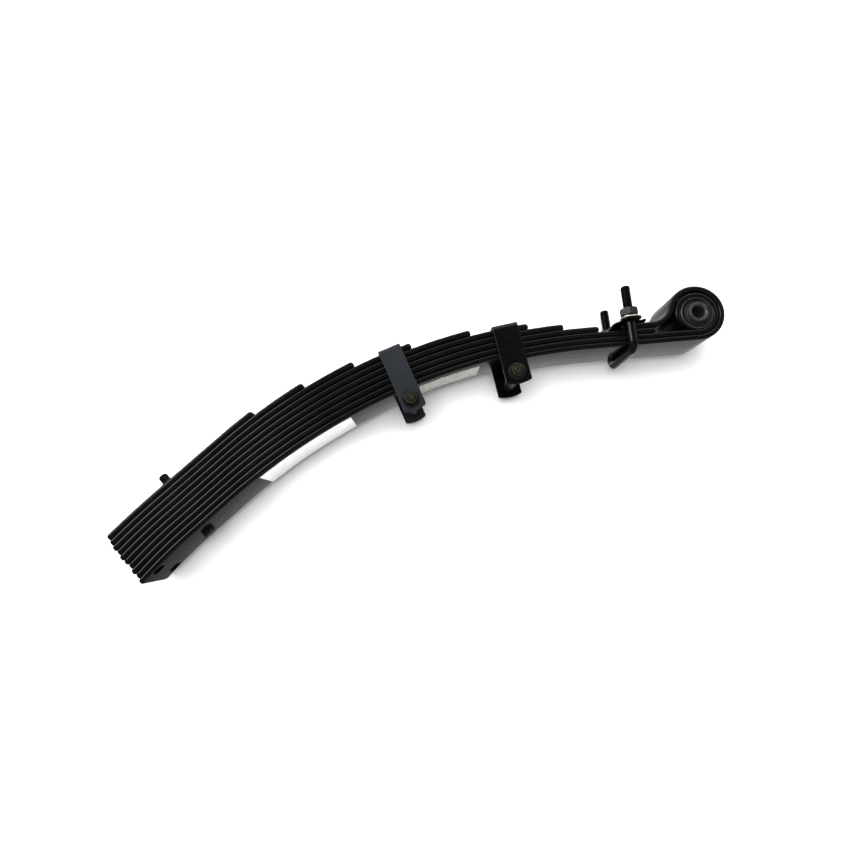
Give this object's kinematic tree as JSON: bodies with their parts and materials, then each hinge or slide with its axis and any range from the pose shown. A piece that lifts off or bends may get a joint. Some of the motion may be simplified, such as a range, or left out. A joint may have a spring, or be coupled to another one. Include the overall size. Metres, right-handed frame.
{
  "type": "leaf spring",
  "caption": "Curved quarter-elliptic leaf spring for a light vehicle: a stack of stepped flat leaves with a rubber-bushed eye, rebound clips and a centre bolt, lying on its side.",
  "frame": {"origin": "on the centre bolt's axis, where it meets the concave seat face of the main leaf, at the middle of the leaves' width", "axes": "lying on its side: +X along the straight clamped seat towards the eye, +Y from the main leaf towards the shortest leaf, +Z across the leaves, parallel to the eye's axis"},
  "size_m": [0.6554, 0.2985, 0.092],
  "materials": {
    "leaf_paint": "gloss",
    "clip_paint": "satin",
    "clip_gloss": "gloss",
    "black_hardware": "gloss",
    "dark_steel": "satin",
    "zinc": "bright",
    "bush_steel": "satin",
    "bush_rubber": "matte",
    "white_label": "satin",
    "silver_label": "satin"
  },
  "bodies": {
    "clamped_end": {"main_leaf": "leaf_paint", "leaf_2": "leaf_paint", "leaf_3": "leaf_paint", "leaf_4": "leaf_paint", "leaf_5": "leaf_paint", "leaf_6": "leaf_paint", "leaf_7": "leaf_paint", "leaf_8": "leaf_paint", "leaf_9": "leaf_paint", "leaf_10": "leaf_paint", "centre_bolt": "black_hardware", "centre_nut": "black_hardware", "blank_label": "white_label", "print_label": "silver_label"},
    "clip_span": {"front_clip_strap": "clip_paint", "front_clip_bolt": "black_hardware", "front_clip_nut": "black_hardware", "front_clip_washers": "black_hardware", "front_clip_distance_tube": "clip_paint", "front_clip_rivet": "clip_paint"},
    "eye_end": {"eye_wrapper": "leaf_paint", "eye_clip_strap": "clip_gloss", "eye_clip_bolt": "black_hardware", "eye_clip_nut": "black_hardware", "eye_clip_washers": "black_hardware", "eye_clip_distance_tube": "clip_gloss", "eye_clip_rivet": "clip_gloss", "u_bolt": "black_hardware", "clamp_plate": "clip_gloss", "u_bolt_flat_washers": "zinc", "u_bolt_spring_washers": "dark_steel", "u_bolt_nuts": "dark_steel", "bush_shell": "bush_steel", "bush_rubber": "bush_rubber"},
    "bush_sleeve": {"bush_sleeve": "bush_steel"}
  },
  "joints": [
    {"name": "flex_root", "type": "hinge", "parent": "clamped_end", "child": "clip_span", "pos_m": [0.14952, -0.00579, 0], "axis": [0, 0, 1], "range_deg": [-2, 15], "stiffness_Nm_per_rad": 8000, "deforming": ["main_leaf", "leaf_2", "leaf_3", "leaf_4", "leaf_5", "leaf_6", "leaf_7", "leaf_8", "leaf_9", "leaf_10", "blank_label"]},
    {"name": "flex_tip", "type": "hinge", "parent": "clip_span", "child": "eye_end", "pos_m": [0.31306, -0.05576, 0], "axis": [0, 0, 1], "range_deg": [-2, 15], "stiffness_Nm_per_rad": 8000, "deforming": ["print_label"]},
    {"name": "bush_twist", "type": "hinge", "parent": "eye_end", "child": "bush_sleeve", "pos_m": [0.54868, -0.18978, 0], "axis": [0, 0, 1], "range_deg": [-20, 20], "stiffness_Nm_per_rad": 140, "deforming": ["bush_rubber"]}
  ],
  "couplings": [
    {"joint": "flex_tip", "follows": "flex_root", "ratio": 1}
  ]
}
